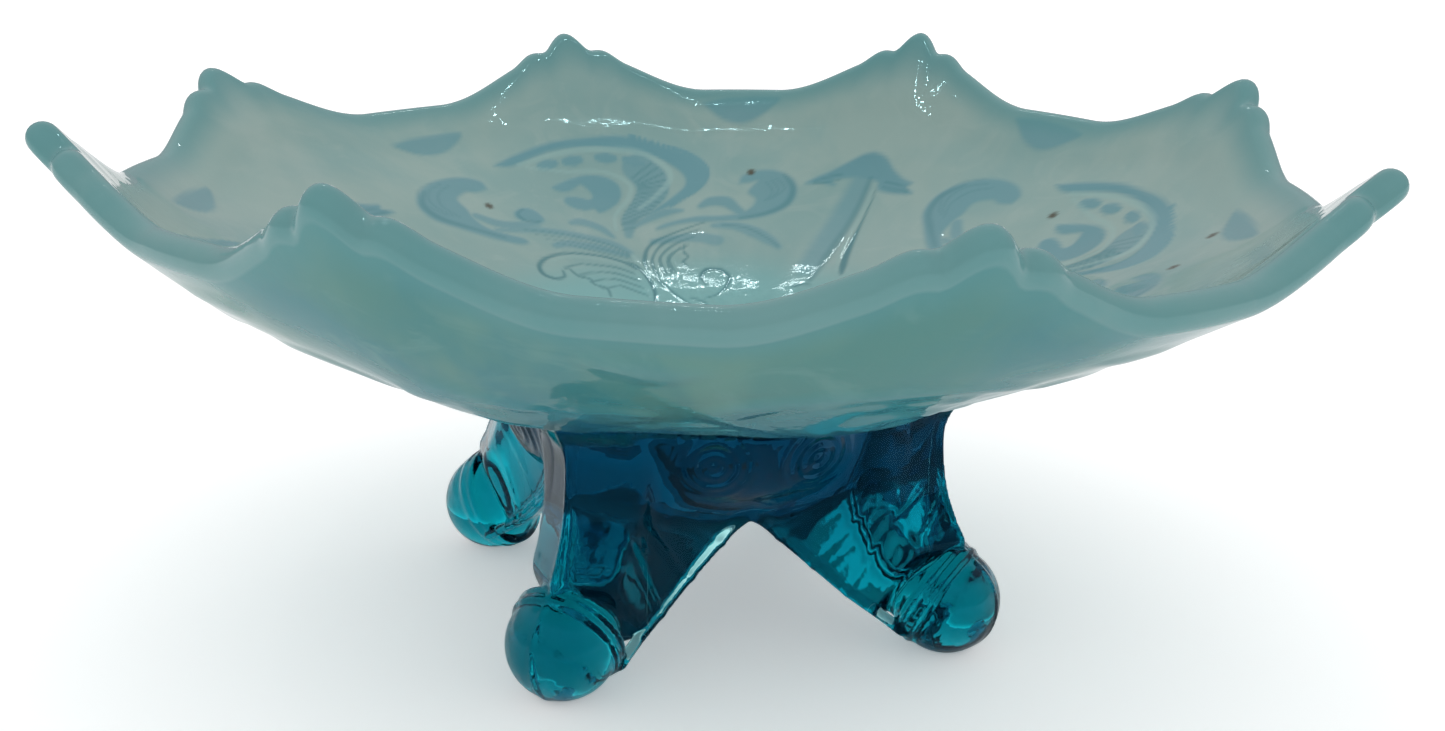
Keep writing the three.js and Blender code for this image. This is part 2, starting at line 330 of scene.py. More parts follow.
def plume(m):
    """The curled plume itself."""
    # the broad outer band, with its serrated outer edge
    outer = [(-26.5, 102), (-20, 106), (-10, 110), (0, 111), (8, 110.5), (15, 108), (21, 104),
             (26, 100), (28.5, 95), (27, 91), (23, 88), (17, 85.5), (8, 83.5)]
    inner = [(12, 85.6), (17, 88), (21.4, 91), (22, 95), (19, 100), (14, 104), (7, 107), (0, 108.5),
             (-8, 108), (-15, 105.5), (-22, 102)]
    m.patch("relief", outer + inner)
    teeth = spline([(12, 109.2), (21, 104), (26, 100), (28.5, 95), (27, 91), (23, 88), (16, 85.2)], 7)
    for tooth in teeth:
        m.stroke("relief", [tooth, tooth * 1.004], 1.3, 1.0, 0.35)
    # light ridges that bound it
    m.stroke("ridge", [(-20, 102.5), (-10, 106.6), (0, 108), (12, 105.3), (18, 99.5), (18.5, 94.5),
                       (14, 90.5), (8, 87)],
             [0.8, 1.3, 1.5, 1.6, 1.7, 1.5, 1.0], 1.0, 0.4)
    m.stroke("ridge", [(-18, 102), (-8, 101.4), (0, 101.6), (5, 99.6), (8, 95.4), (6, 91), (3, 88),
                       (1, 85), (0, 80)],
             [0.8, 1.1, 1.2, 1.2, 1.2, 1.0, 0.8], 0.8, 0.4)
    # lobes along its top, then a ladder of rungs down its neck
    for u, v, lean in ((-12, 103.3, 0.35), (-5, 104.8, 0.2), (4, 105, -0.2), (11, 102.4, -0.6)):
        m.stroke("relief", [(u - 2, v - 2 * lean), (u, v), (u + 2, v + 2 * lean)],
                 [2.2, 3.2, 2.0], 0.9, 0.5)
    neck = [(11.5, 100.5), (13.6, 96), (13, 92), (10, 88.5), (7, 86), (4.5, 83.5), (3.5, 80.5),
            (2.5, 77)]
    m.stroke("relief", neck, [8.5, 9.0, 8.4, 7.0, 5.4, 4.2, 3.0, 2.0], 0.75, 0.6)
    spine = spline(neck, 3)
    for k in range(1, len(spine) - 2):
        ahead = spine[k + 1] - spine[k - 1]
        across = np.array([-ahead[1], ahead[0]]) / np.hypot(*ahead)
        reach = np.interp(k / len(spine), [0, 0.3, 1], [3.6, 3.6, 0.9])
        m.stroke("groove", [spine[k] - across * reach, spine[k] + across * reach], 0.5, 0.5, 0.35)
    # the leaf curled inside it
    leaf = [(-13, 95.5), (-10, 97.5), (-6, 99.5), (-2, 100.4), (2, 99.6), (4.8, 97), (5, 93.5),
            (3.4, 90.5), (0.5, 88.4), (-2.4, 87.2), (-3.4, 88.6), (-6, 88), (-9, 88.6), (-10.8, 90.6),
            (-9.5, 92.6), (-6.5, 92.8), (-3.8, 92.2), (-2.6, 93.5), (-3.2, 95.5), (-4.6, 97.2),
            (-6.4, 96.2), (-8.8, 94.6), (-11.5, 94.4)]
    m.patch("relief", leaf, 0.95, 0.6)


def left_scroll(m):
    """The C-scroll to the left of the plume, and the curl inside it."""
    scroll = [(-30, 92.5), (-31, 95.3), (-35, 96.3), (-40, 95), (-45, 91.5), (-48.5, 86), (-49, 81),
              (-46, 76.5), (-40, 74), (-33, 71.5), (-27, 70.3), (-24.3, 71.2), (-25, 73), (-29, 74.2),
              (-33.5, 76), (-36, 79.5), (-37, 83), (-38.6, 86.6), (-36, 90), (-33, 90.6)]
    m.patch("relief", scroll, 0.9, 0.8)
    m.stroke("groove", [(-46.5, 88), (-47.8, 82), (-44.5, 77.5), (-38, 75), (-30, 72.6)],
             [0.6, 1.6, 1.6, 1.4, 0.8], 0.45, 0.7)
    for shift in (2.5, 5, 7.5):
        m.stroke("groove", [(-37.5 - shift * 0.9, 92), (-40.5 - shift, 88), (-41 - shift * 0.9, 83),
                            (-38 - shift * 0.6, 79)],
                 [0.4, 0.6, 0.4], 0.28, 0.4)
    m.stroke("relief", [(-35, 80.5), (-30.5, 78.4), (-25.5, 78.2), (-20.5, 79.8)],
             [2.6, 3.2, 3.4, 2.4], 0.8, 0.7)
    m.stroke("relief", [(-23, 82.6), (-21.4, 83.2), (-20, 82)], [4.6, 5.6, 4.2], 0.95, 0.6)
    m.stroke("groove", [(-22.5, 85.4), (-24.3, 83), (-22.8, 80.5), (-19.4, 80.6)],
             [0.5, 0.9, 0.7], 0.5, 0.4)


def right_scroll(m):
    """The C-scroll to the right of the plume, and the leaf inside it."""
    hook = [(35, 87), (36.5, 89.2), (41, 89.3), (45.5, 87), (48.3, 82.5), (47.5, 78), (44, 74.5),
            (39, 73), (33, 73.3), (25, 75.3), (16, 77.4), (10, 77.4), (12, 79), (20, 79), (26, 77.5),
            (31, 76.5), (35, 77.6), (37, 80), (36, 83), (38, 85), (39.5, 86), (37.5, 86.2)]
    m.patch("relief", hook, 0.85, 0.8)
    m.stroke("groove", [(46.6, 85), (47.2, 80), (44, 75.6), (38, 73.9), (31, 74.6)],
             [0.6, 1.4, 1.6, 1.2, 0.6], 0.5, 0.7)
    for shift in (0, 2.4, 4.8):
        m.stroke("groove", [(39 + shift * 0.4, 78.4), (41.8 + shift * 0.7, 80.6),
                            (41.6 + shift * 0.6, 84.6)],
                 0.45, 0.3, 0.35)
    m.stroke("relief", [(23, 82.3), (26, 83.2), (29.5, 82), (31, 79), (32, 76.5)],
             [1.6, 3.4, 4.0, 3.0, 2.4], 0.85, 0.7)


def leaves_and_tails(m):
    """Small leaves beside the plume's neck, and the tails that fall from the scrolls."""
    m.stroke("relief", [(4, 80), (9, 82.4), (14, 83.2), (18, 82.4)], [1.0, 2.6, 2.8, 1.2], 0.8, 0.6)
    m.stroke("relief", [(-11, 82), (-8, 83), (-4, 81), (-1.5, 77)], [1.6, 3.2, 2.8, 1.2], 0.8, 0.6)
    m.stroke("relief", [(24, 74), (29, 72), (32.5, 68), (35, 63.5), (36.3, 60)],
             [2.0, 3.2, 4.2, 3.6, 1.4], 0.75, 0.6)
    m.stroke("groove", [(26, 73.6), (31, 70.5), (34.6, 64.6), (36.2, 60.6)], [0.5, 0.7, 0.6], 0.45, 0.4)
    m.stroke("relief", [(8, 73), (14, 72), (19, 70.4), (22.4, 68.2)], [2.4, 3.2, 4.0, 4.4], 0.7, 0.7)
    m.stroke("relief", [(-31, 75.4), (-20, 77), (-10, 76.6), (-3, 74.4), (1, 70)],
             [1.6, 2.4, 3.0, 3.0, 1.6], 0.75, 0.7)
    m.stroke("relief", [(-17.5, 71), (-13, 72.6), (-6, 72), (0, 69)], [2.0, 3.4, 3.0, 1.4], 0.8, 0.6)
    for drop in (0, 1.5, 3.0, 4.6):
        m.stroke("groove", [(-24 + drop * 1.5, 76.6 - drop), (-12, 76.3 - drop), (-4, 74 - drop),
                            (0.5, 69.6 - drop * 0.5)],
                 [0.3, 0.6, 0.5], 0.5, 0.35)


def stem_and_fronds(m):
    """The stem under the plume, and the nested fronds to its right."""
    m.stroke("groove", [(-0.6, 66), (1.6, 63), (2.2, 58), (2, 52), (0.4, 46.5)],
             [0.6, 1.2, 1.1, 0.9, 0.5], 1.0, 0.4)
    m.stroke("ridge", [(1.2, 69), (2.4, 62), (3.2, 57)], [0.8, 1.3, 0.8], 0.9, 0.4)
    for k, grow in enumerate((0, 2.0, 4.2, 6.6)):
        start = (2.8 + grow * 0.95, 58.5 + grow * 0.12)
        bend = (3.6 + grow * 0.9, 66.5 - grow * 0.1)
        crown = (8.2 + grow * 0.9, 73 - grow * 0.75)
        end = (22 - grow * 1.0, 76 - grow * 1.15)
        m.stroke("groove", [start, bend, crown, end], [0.8, 1.2, 0.9, 0.3], 0.9 - 0.1 * k, 0.4)
        m.stroke("ridge", [np.add(start, (0.9, 0)), np.add(bend, (0.9, -0.6)),
                           np.add(crown, (0.7, -0.9))],
                 [0.5, 0.7, 0.3], 0.6, 0.35)
    m.stroke("groove", [(8.2, 59), (8.6, 63.4), (10.8, 66.2), (13.4, 68.4)], [0.6, 1.0, 0.5], 0.8, 0.4)
    m.stroke("groove", [(14.5, 69), (13.6, 66.2), (14, 64), (12.2, 62.4), (12.6, 60)],
             [0.5, 0.8, 0.5, 0.8, 0.4], 0.8, 0.35)
    m.stroke("groove", [(4, 58), (5.6, 52), (7.4, 47), (9, 42.6)], [0.9, 0.8, 0.7, 0.4], 0.8, 0.4)
    m.stroke("groove", [(9.4, 47), (11.6, 44.4), (12.6, 41.6)], [0.6, 0.8, 0.4], 0.7, 0.4)
    m.stroke("groove", [(14.6, 51.4), (14.4, 54.6), (16.6, 57.2), (19.6, 56.4), (20.8, 53),
                        (19.4, 49.4), (16, 46.4), (12.6, 45.6)],
             [0.5, 0.9, 1.3, 1.1, 0.9, 0.8, 0.5, 0.3], 0.95, 0.4)


def shell(m):
    """The shell of acanthus to the left of the stem."""
    m.stroke("groove", [(-18.4, 60.6), (-18.6, 58), (-21, 56.8), (-23.6, 58.6), (-23.6, 62.4),
                        (-20.4, 66), (-14, 68.4), (-7, 68.6), (-2, 66.4), (0.6, 63)],
             [0.5, 0.8, 1.2, 1.2, 1.2, 0.9, 0.9, 1.0, 0.8], 0.95, 0.4)
    m.stroke("ridge", [(-21, 64), (-15, 66.8), (-7, 67), (-2.4, 65)], [0.5, 1.2, 1.2, 0.5], 0.7, 0.5)
    for drop, reach in ((0, -17.5), (3.0, -14.4), (6.0, -12.6), (9.0, -10.5)):
        m.stroke("groove", [(reach, 61.6 - drop * 0.9), (reach + 4.5, 64 - drop), (-5, 64 - drop),
                            (-0.6 + drop * 0.05, 61 - drop * 1.1)],
                 [0.9, 0.5, 0.9, 0.6], 0.75, 0.4)
    m.stroke("groove", [(-16.5, 61.4), (-15, 58.4), (-12.4, 57.4), (-12, 55), (-9.4, 53.6), (-9.4, 50)],
             [0.6, 0.9, 0.6, 0.9, 0.6], 0.8, 0.35)


def plume_motif():
    """The curled plume over two C-scrolls, rising from fronds and a shell of acanthus."""
    m = Ornament(56, 36, 114)
    for draw in (plume, left_scroll, right_scroll, leaves_and_tails, stem_and_fronds, shell):
        draw(m)
    return m


def arrow_motif():
    """A fluted column under a feathered crown, between two plumes."""
    m = Ornament(22, 52, 112)
    crown = [(-3, 107), (0.6, 106), (4, 103), (7.4, 100.6), (10.6, 99), (9.6, 97.8), (12, 95.6),
             (7, 96), (2, 97.2), (0.6, 99.5), (-5, 99.6), (-8.6, 98.6), (-10.6, 97.4), (-9.4, 96.2),
             (-13, 95.6), (-17, 94), (-15, 97), (-12.6, 99.4), (-9.6, 102.6), (-6, 105.8)]
    m.patch("relief", crown, 0.95, 0.7)
    for drop in (0, 1.6):
        m.stroke("groove", [(-9, 99.8 - drop), (-12, 98 - drop), (-15, 95.6 - drop * 0.5)],
                 [0.4, 0.6, 0.3], 0.45, 0.35)
        m.stroke("groove", [(3, 99.6 - drop), (7, 98.6 - drop), (10.4, 97 - drop * 0.5)],
                 [0.4, 0.6, 0.3], 0.45, 0.35)
    m.stroke("relief", [(-3.2, 101), (-3.4, 90), (-3.3, 78), (-3.0, 64)],
             [5.4, 6.2, 6.4, 5.0], 0.7, 1.6)
    m.stroke("groove", [(-1.4, 100), (-0.8, 88), (-0.5, 74), (-0.2, 60)],
             [1.0, 1.6, 2.2, 1.6], 0.5, 0.8)
    m.stroke("ridge", [(0.8, 97), (1.4, 84), (2.6, 72), (4.6, 65)], [0.6, 1.2, 1.2, 0.5], 0.8, 0.4)
    m.stroke("groove", [(1.2, 97), (2.2, 85), (3.8, 73.5), (5.4, 67), (6.6, 63.5)],
             [0.5, 1.0, 2.0, 2.0, 0.6], 1.0, 0.5)
    m.stroke("groove", [(-2.6, 56.6), (-0.8, 58), (1.4, 57.8)], [1.4, 1.0, 0.4], 0.7, 0.4)
    return m


def thumbprint():
    """The lens pressed under each trough of the rim."""
    m = Ornament(16, 106, 124)
    lens = [(-10.5, 116.2), (-5, 113), (0, 112), (5, 113), (10.5, 116.2), (5, 117.3), (0, 117.5),
            (-5, 117.3)]
    m.patch("relief", lens, 0.8, 0.6)
    return m


MOTIFS = [
    (plume_motif(), [k * 90 for k in range(4)]),
    (arrow_motif(), [k * 90 + 45 for k in range(4)]),
    (thumbprint(), [k * 45 + 22.5 for k in range(8)]),
]


def ornament(kind, x, y):
    """One height map over the whole bowl, at points in plan."""
    total = np.zeros(x.shape)
    for motif, turns in MOTIFS:
        for turn in np.radians(turns):
            u = x * math.sin(turn) - y * math.cos(turn)
            v = x * math.cos(turn) + y * math.sin(turn) + ORNAMENT_IN
            total = np.maximum(total, motif.sample(kind, u, v))
    return total


def softened(x, y):
    """The proud relief as the fire-polished outside shows it, with its edges melted."""
    total = ornament("relief", x, y)
    for k in range(8):
        turn = k * math.pi / 4
        total += ornament("relief", x + MELTED * math.cos(turn), y + MELTED * math.sin(turn))
    return total / 9


# ---- bowl ----

PROFILE_CURVE = spline(WALL_PROFILE, 24)


def wall_height(fraction):
    return np.interp(fraction, PROFILE_CURVE[:, 0], PROFILE_CURVE[:, 1])


def tip_offset(angle):
    """0 at a tip of the rim and 1 or -1 at a trough."""
    pitch = 2 * np.pi / POINTS
    return (angle / pitch - np.round(angle / pitch)) * 2


def outside(fraction, angle):
    """Radius and height of the bowl's outside, before knobs and relief."""
    share = (1 - KNOB_SHARE) * hump(tip_offset(angle), SHOULDER_WIDTH)
    oval = np.cos(2 * (angle + np.pi / 4))
    ruffle = np.maximum(0, (fraction - RUFFLE_START) / (1 - RUFFLE_START)) ** 2
    rim = TROUGH_RADIUS + (TIP_RADIUS - TROUGH_RADIUS) * share
    lift = (TIP_HEIGHT - TROUGH_HEIGHT) * share - OVAL_DROP * oval
    radius = fraction * rim + OVAL_FLARE * oval * ruffle
    return radius, wall_height(fraction) + lift * ruffle


def knob(angle):
    """How far the rim stands out at an angle: a middle lobe with a smaller lobe on each side."""
    along = tip_offset(angle) * np.pi / POINTS * TIP_RADIUS
    middle = KNOB_REACH * hump(along, KNOB_HALF) ** KNOB_FULLNESS
    sides = LOBE_REACH * hump(np.abs(along) - LOBE_OFFSET, LOBE_HALF) ** LOBE_FULLNESS
    return smooth_max(middle, sides, KNOB_FILLET)


def thickness(fraction):
    wall = FLOOR + (WALL - FLOOR) * np.minimum(fraction / 0.5, 1)
    return wall + (EDGE_WALL - WALL) * smoothstep(EDGE_START, 1.0, fraction)


def bowl_points(fraction, angle, depth, reach):
    """Points moved from the outside through the wall by depth and along it by reach."""
    step = 0.01
    radius, height = outside(fraction, angle)
    before_radius, before_height = outside(fraction - step, angle)
    slope = np.arctan2(height - before_height, radius - before_radius)
    reach = reach + knob(angle) * smoothstep(KNOB_START, 1.0, fraction)
    radius = radius - depth * np.sin(slope) + reach * np.cos(slope)
    height = height + depth * np.cos(slope) + reach * np.sin(slope)
    return np.stack([radius * np.cos(angle), radius * np.sin(angle), height], -1)


def fractions(fine, coarse):
    """Stations from near the axis to the rim, closer together where the ornament is."""
    inner = np.linspace(0.03, 0.27, coarse, endpoint=False)
    ornament_part = np.linspace(0.27, 0.955, fine, endpoint=False)
    rim_part = np.linspace(0.955, 1.0, coarse)
    return np.concatenate([inner, ornament_part, rim_part])


def bowl_side(stations, count, inner):
    """The grid of points of one side of the wall, and its looks: relief, lines of painted shade and
    highlight, rim and specks.
    """
    angle = np.arange(count) / count * 2 * np.pi
    f, a = np.meshgrid(stations, angle, indexing="ij")
    depth = thickness(f) if inner else np.zeros(f.shape)
    flat = bowl_points(f, a, depth, 0)
    x = flat[..., 0]
    y = flat[..., 1]
    relief = ornament("relief", x, y) if inner else softened(x, y)
    ridge = ornament("ridge", x, y)
    groove = ornament("groove", x, y)
    line_share = 1 if inner else OUTSIDE_LINES
    shape = relief + line_share * (RIDGE_SHARE * ridge - GROOVE_SHARE * groove)
    proud = RELIEF_IN * shape if inner else -RELIEF_OUT * shape
    speck = np.zeros(f.shape)
    if inner:
        for speck_x, speck_y in SPECKS:
            away = np.hypot(x - speck_x, y - speck_y)
            speck = np.maximum(speck, smoothstep(SPECK_REACH, SPECK_CORE, away))
    points = bowl_points(f, a, depth + proud, 0)
    return points, relief, groove - ridge, smoothstep(RIM_START, 1.0, f), speck


def grid_faces(rows, count, start=0):
    """Quads between rows of points that close on themselves."""
    j = np.arange(count)
    k = np.arange(rows - 1)[:, None]
    low = start + k * count + j
    right = start + k * count + (j + 1) % count
    quads = np.stack([low, right, right + count, low + count], -1)
    return quads.reshape(-1, 4)


def rounded_edge():
    """Rows of points round the edge of the rim, from the outside to just before the inside."""
    angle = np.arange(INNER_ANGLES) / INNER_ANGLES * 2 * np.pi
    half = EDGE_WALL / 2
    rows = []
    for turn in np.linspace(0, np.pi, EDGE_ROWS + 1)[:-1]:
        depth = half * (1 - math.cos(turn))
        rows.append(bowl_points(np.ones(INNER_ANGLES), angle, depth, half * math.sin(turn)))
    return np.array(rows)


def stitch(coarse, fine):
    """Triangles from a coarse ring of points to a ring with twice as many."""
    faces = []
    for j in range(OUTER_ANGLES):
        a = coarse + j
        b = coarse + (j + 1) % OUTER_ANGLES
        c = fine + 2 * j
        faces.append((a, c + 1, c))
        faces.append((a, b, c + 1))
        faces.append((b, fine + (2 * j + 2) % INNER_ANGLES, c + 1))
    return faces


def bowl_piece(material):
    outer_points, *outer_looks = bowl_side(fractions(84, 10), OUTER_ANGLES, False)
    inner_side = bowl_side(fractions(108, 12), INNER_ANGLES, True)
    inner_points, *inner_looks = [rows[::-1] for rows in inner_side]
    edge = rounded_edge()

    outer_rows = outer_points.shape[0] - 1  # the last row is replaced by the fine first row of the edge
    outer_count = outer_rows * OUTER_ANGLES
    fine_points = np.concatenate([edge, inner_points])
    points = np.concatenate([outer_points[:-1].reshape(-1, 3), fine_points.reshape(-1, 3)])
    faces = [tuple(f) for f in grid_faces(outer_rows, OUTER_ANGLES)]
    faces += [tuple(f) for f in grid_faces(len(fine_points), INNER_ANGLES, outer_count)]
    faces += stitch(outer_count - OUTER_ANGLES, outer_count)
    # a flat face closes each side at the axis
    faces.append(tuple(range(OUTER_ANGLES))[::-1])
    end = len(points) - INNER_ANGLES
    faces.append(tuple(range(end, end + INNER_ANGLES)))
    made = new_object("bowl_opal", points, faces, material)
    # the line value carries painted shade in the grooves and painted highlights on the ridges
    names = ("relief", "line", "rim", "speck")
    for name, outer, inner, edge_value in zip(names, outer_looks, inner_looks, (0, 0, 1, 0)):
        on_edge = np.full(edge.shape[0] * edge.shape[1], edge_value)
        add_attribute(made, name, np.concatenate([outer[:-1].ravel(), on_edge, inner.ravel()]))
    is_outer = np.zeros(len(points))
    is_outer[:outer_count] = 1
    add_attribute(made, "outer", is_outer)
    return made


# ---- base and feet ----

def distance_to_profile(profile, r, z):
    """Signed depth below a smooth curve of radius and height, scaled to be close to a distance."""
    curve = spline(profile, 10)
    height = np.interp(r, curve[:, 0], curve[:, 1])
    step = 0.5
    slope = (np.interp(r + step, curve[:, 0], curve[:, 1]) - height) / step
    return (height - z) / np.sqrt(1 + slope**2)


def ball(x, y, z, centre, radius):
    return np.sqrt((x - centre[0]) ** 2 + (y - centre[1]) ** 2 + (z - centre[2]) ** 2) - radius


def leg_field(along, side, z):
    """A leg and its web: two concave flanks, a sloping underside and a keeled front."""
    # the four webs are what is left outside four upright cylinders between them
    flank = (ARC_CENTRE - WEB_HALF) - np.hypot(along - ARC_CENTRE, side - ARC_CENTRE)
    ridge_curve = spline(RIDGE_PROFILE, 8)
    ridge = np.interp(z, ridge_curve[:, 0], ridge_curve[:, 1])
    lean = NOSE_DEPTH / WEB_HALF
    nose = (along + side * lean - ridge) / math.sqrt(1 + lean**2)
    under = distance_to_profile(WEB_UNDERSIDE, along, z)
    # ribs fan down the flank from the top of the leg
    fan = np.arctan2(FAN_X - along, FAN_Z - z)
    away = np.hypot(FAN_X - along, FAN_Z - z)
    rib = np.zeros(along.shape, np.float32)
    for angle in RIB_ANGLES:
        rib = np.maximum(rib, hump((fan - angle) * away, RIB_HALF))
    shown = smoothstep(RIB_TOP, RIB_TOP - RIB_FADE, z + RIB_SLOPE * (ARC_CENTRE - along))
    flank = flank - RIB_HEIGHT * rib * shown
    leg = smooth_max(flank, nose - seam_height(side), LEG_ROUNDING)
    leg = smooth_max(leg, under, UNDER_ROUNDING)
    leg = np.maximum(leg, LEG_BOTTOM - z)
    # a bead along the lower edge
    bead = np.hypot(under + BEAD_RADIUS, flank + BEAD_SET_IN) - BEAD_RADIUS
    bead = smooth_max(bead, along - BEAD_END, BEAD_FADE)
    return smooth_min(leg, bead, BEAD_FILLET)


def seam_height(side):
    """The mould seam down the front of a leg and over its toe."""
    return SEAM_HEIGHT * hump(side, SEAM_HALF)


def dome_field(along, side, z):
    """The dome, with two scrolls raised on it between neighbouring legs."""
    radius = np.hypot(along, side)
    dome = distance_to_profile(DOME_PROFILE, radius, z)
    scroll = np.hypot((np.arctan2(side, along) - SCROLL_TURN) * radius, z - SCROLL_HEIGHT)
    rings = 0.5 + 0.5 * np.cos(2 * np.pi * scroll / SCROLL_PITCH)
    return dome - SCROLL_RELIEF * rings * smoothstep(SCROLL_REACH, 0.6 * SCROLL_REACH, scroll)


def collar_fields(along, side, z, toe_height):
    """The two beads of the tilted collar behind a toe."""
    axis = (math.cos(COLLAR_TILT), -math.sin(COLLAR_TILT))
    dx = along - TOE_REACH
    dz = z - toe_height
    lengthwise = dx * axis[0] + dz * axis[1] + COLLAR_BACK
    upward = dx * math.sin(COLLAR_TILT) + dz * math.cos(COLLAR_TILT)
    spread = np.hypot(upward, side)
    return [np.hypot(spread - COLLAR_RADIUS, lengthwise - k) - COLLAR_BEAD for k in COLLAR_SHIFTS]


def limb_field(x, y, z):
    """Distance field of a quarter of base and feet, in the frame of the legs (x, y >= 0)."""
    along = np.maximum(x, y)
    side = np.minimum(x, y)
    # straight up from just under the bowl, so that the top can be trimmed to the bowl's underside
    seat = wall_height(np.hypot(x, y) / TIP_RADIUS) - SEAT_DEPTH
    z = np.minimum(z, seat).astype(np.float32)
    body = smooth_min(leg_field(along, side, z), dome_field(along, side, z), DOME_FILLET)
    toe_height = TOE_RADIUS - TOE_FLAT
    toe = ball(along, side, z, (TOE_REACH, 0, toe_height), TOE_RADIUS)
    body = smooth_min(body, toe - seam_height(side), TOE_FILLET)
    for bead in collar_fields(along, side, z, toe_height):
        body = smooth_min(body, bead, COLLAR_FILLET)
    return np.maximum(body, -z)


def seat_height(x, y):
    """Underside of the bowl above a point of the base."""
    angle = np.arctan2(y, x)
    rim, _ = outside(1.0, angle)
    return wall_height(np.hypot(x, y) / rim)


def even_out(points, quads):
    """Takes the small steps of the grid out of a closed surface of quads without shrinking it."""
    count = np.bincount(quads.ravel(), minlength=len(points))[:, None]
    for _ in range(SMOOTHING_ROUNDS):
        for share in SMOOTHING_STEPS:
            total = np.zeros(points.shape)
            for k in range(4):
                here, there = quads[:, k], quads[:, (k + 1) % 4]
                for axis in range(3):
                    total[:, axis] += np.bincount(here, points[there, axis], len(points))
            points = points + share * (total / count - points)
    return points


def turned(x, y, angle):
    """Plan coordinates turned about the bowl's axis."""
    return x * math.cos(angle) - y * math.sin(angle), x * math.sin(angle) + y * math.cos(angle)


def base_and_feet():
    """All the clear glass as one closed surface: points in millimetres, and quads."""
    turn = math.pi / 4 + FOOT_TWIST
    side = (np.arange(int(GRID_REACH / VOXEL)) + 0.5) * VOXEL
    up = (np.arange(int(GRID_TOP / VOXEL)) + 0.5) * VOXEL - GRID_BELOW
    x, y, z = np.meshgrid(side, side, up, indexing="ij")
    quarter = limb_field(x.astype(np.float32), y.astype(np.float32), z.astype(np.float32))
    half = np.concatenate([quarter[::-1], quarter], 0)
    whole = np.concatenate([half[:, ::-1], half], 1)
    line = np.concatenate([-side[::-1], side])
    x, y = np.meshgrid(line, line, indexing="ij")
    seat = seat_height(*turned(x, y, turn)) - SEAT_GAP
    whole = np.maximum(whole, up - seat[:, :, None])
    limit = FIELD_LIMIT * VOXEL
    grid = openvdb.FloatGrid(background=limit)
    grid.copyFromArray(np.clip(whole, -limit, limit).astype(np.float32), tolerance=0.0)
    points, quads = grid.convertToQuads(0.0)
    points = even_out(points, quads)
    points = points * VOXEL + np.array([line[0], line[0], up[0]])
    x, y = turned(points[:, 0], points[:, 1], turn)
    seat = seat_height(x, y) - SEAT_GAP
    height = np.where(points[:, 2] > seat - SEAT_SNAP, seat, np.maximum(points[:, 2], 0))
    return np.stack([x, y, height], -1), quads


def cut_mesh(mesh, planes):
    """Keeps what is behind every plane, a point and its outward normal, and closes each cut."""
    for point, normal in planes:
        geometry = mesh.verts[:] + mesh.edges[:] + mesh.faces[:]
        bmesh.ops.bisect_plane(mesh, geom=geometry, dist=1e-6, plane_co=point, plane_no=normal,
                               clear_outer=True)
        edges = [e for e in mesh.edges if e.is_boundary]
        bmesh.ops.triangle_fill(mesh, use_beauty=True, use_dissolve=False, edges=edges)


def glass_piece(name, whole, planes, material):
    """The part of the whole clear glass that is behind every plane, as a closed object."""
    mesh = bmesh.new()
    mesh.from_mesh(whole)
    cut_mesh(mesh, planes)
    bmesh.ops.recalc_face_normals(mesh, faces=mesh.faces[:])
    data = bpy.data.meshes.new(name)
    mesh.to_mesh(data)
    mesh.free()
    data.polygons.foreach_set("use_smooth", [True] * len(data.polygons))
    data.materials.append(material)
    made = bpy.data.objects.new(name, data)
    bpy.context.scene.collection.objects.link(made)
    return made


def clear_pieces(material):
    """The base and the four feet, each under the name of its CAD node."""
    points, quads = base_and_feet()
    whole = bpy.data.meshes.new("clear_glass_whole")
    whole.from_pydata((points * MM).tolist(), [], quads.tolist())
    whole.update()
    split = SPLIT * MM
    sides = []
    for k in range(4):
        angle = (k + 0.5) * math.pi / 2 + FOOT_TWIST
        sides.append(Vector((math.cos(angle), math.sin(angle), 0)))
    base_planes = [(s * (split - SPLIT_GAP * MM), s) for s in sides]
    pieces = {"base": glass_piece("base_glass", whole, base_planes, material)}
    names = ["foot_back_right", "foot_back_left", "foot_front_left", "foot_front_right"]
    for name, s in zip(names, sides):
        pieces[name] = glass_piece(name + "_glass", whole, [(s * split, -s)], material)
    bpy.data.meshes.remove(whole)
    for made in pieces.values():
        mark_joints(made, sides)
    return pieces


def mark_joints(made, sides):
    """Marks the faces where parts of the one pressing meet: no glass surface shows there."""
    data = made.data
    co = np.zeros(len(data.vertices) * 3)
    data.vertices.foreach_get("co", co)
    co = co.reshape(-1, 3) / MM
    out = np.max([co @ np.array(s) for s in sides], 0)
    on_seat = np.abs(co[:, 2] - seat_height(co[:, 0], co[:, 1]) + SEAT_GAP) < 0.01
    on_cut = np.abs(out - SPLIT) < 2 * SPLIT_GAP
    flags = np.zeros(len(data.polygons), np.float32)
    for polygon in data.polygons:
        corners = list(polygon.vertices)
        flags[polygon.index] = float(on_seat[corners].all() or on_cut[corners].all())
    joint = data.attributes.new("joint", "FLOAT", "FACE")
    joint.data.foreach_set("value", flags)
    # a crease round each joint
    mesh = bmesh.new()
    mesh.from_mesh(data)
    for edge in mesh.edges:
        if len({flags[face.index] for face in edge.link_faces}) > 1:
            edge.smooth = False
    mesh.to_mesh(data)
    mesh.free()


# ---- materials ----

def node_tree(name):
    """A new material with one Principled shader, and its nodes."""
    material = bpy.data.materials.new(name)
    material.use_nodes = True
    tree = material.node_tree
    tree.nodes.clear()
    output = tree.nodes.new("ShaderNodeOutputMaterial")
    shader = tree.nodes.new("ShaderNodeBsdfPrincipled")
    tree.links.new(shader.outputs[0], output.inputs["Surface"])
    return material, tree, shader, output


